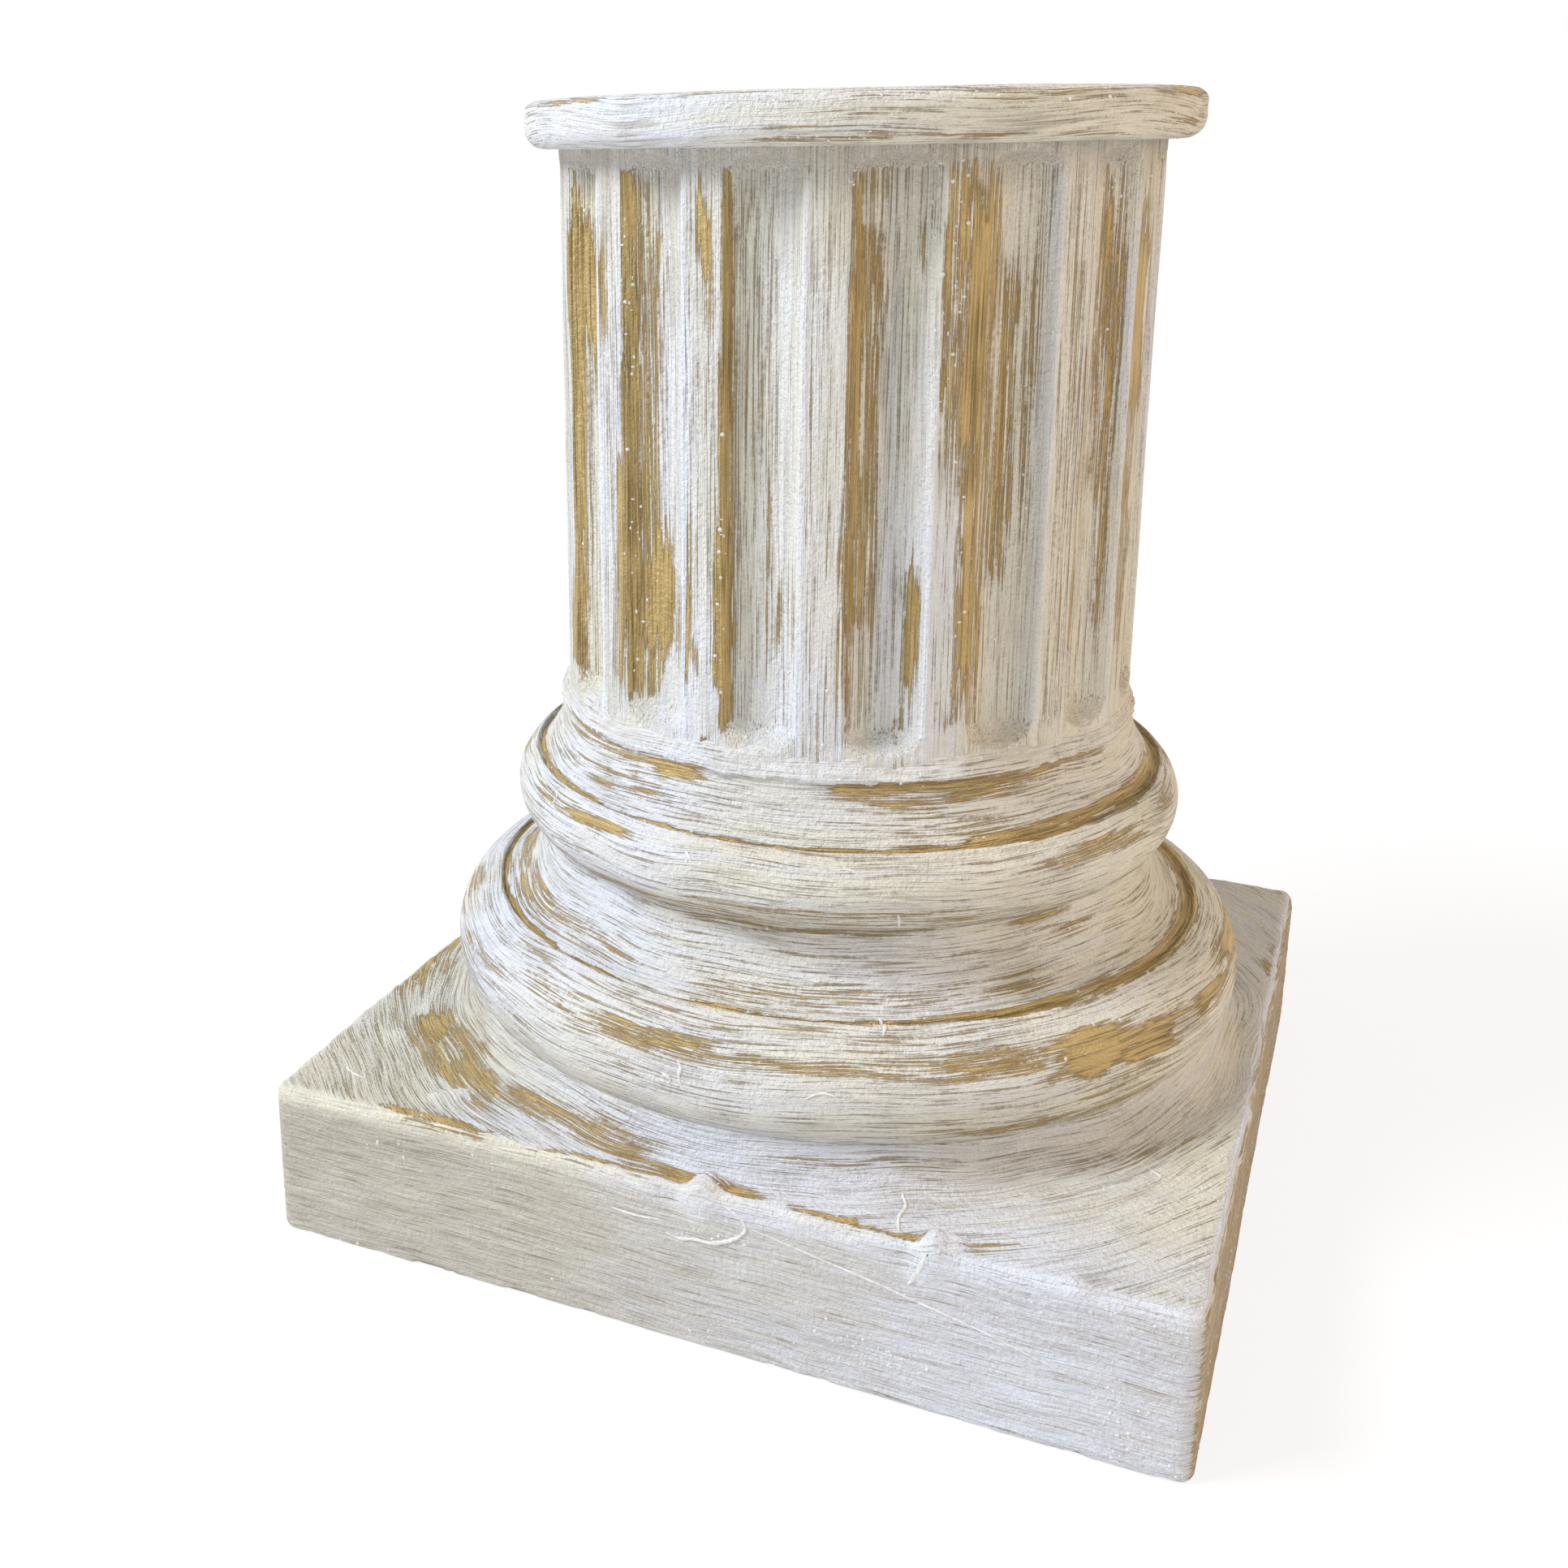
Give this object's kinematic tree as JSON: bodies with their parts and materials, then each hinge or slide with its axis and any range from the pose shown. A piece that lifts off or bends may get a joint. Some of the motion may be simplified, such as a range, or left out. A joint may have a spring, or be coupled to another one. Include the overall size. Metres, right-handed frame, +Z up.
{
  "type": "column section",
  "caption": "Short free-standing fluted column section in cast plaster, with a square plinth, a moulded round base and a thin round cap.",
  "frame": {"origin": "middle of the square plinth's underside", "axes": "+Z up along the shaft's axis; the plinth's sides lie along X and Y"},
  "size_m": [0.25, 0.25, 0.3075],
  "materials": {
    "painted_plaster": "matte white chalk paint dry-brushed over gold paint, on cast plaster"
  },
  "bodies": {
    "root": {"column_section": "painted_plaster"}
  },
  "joints": []
}
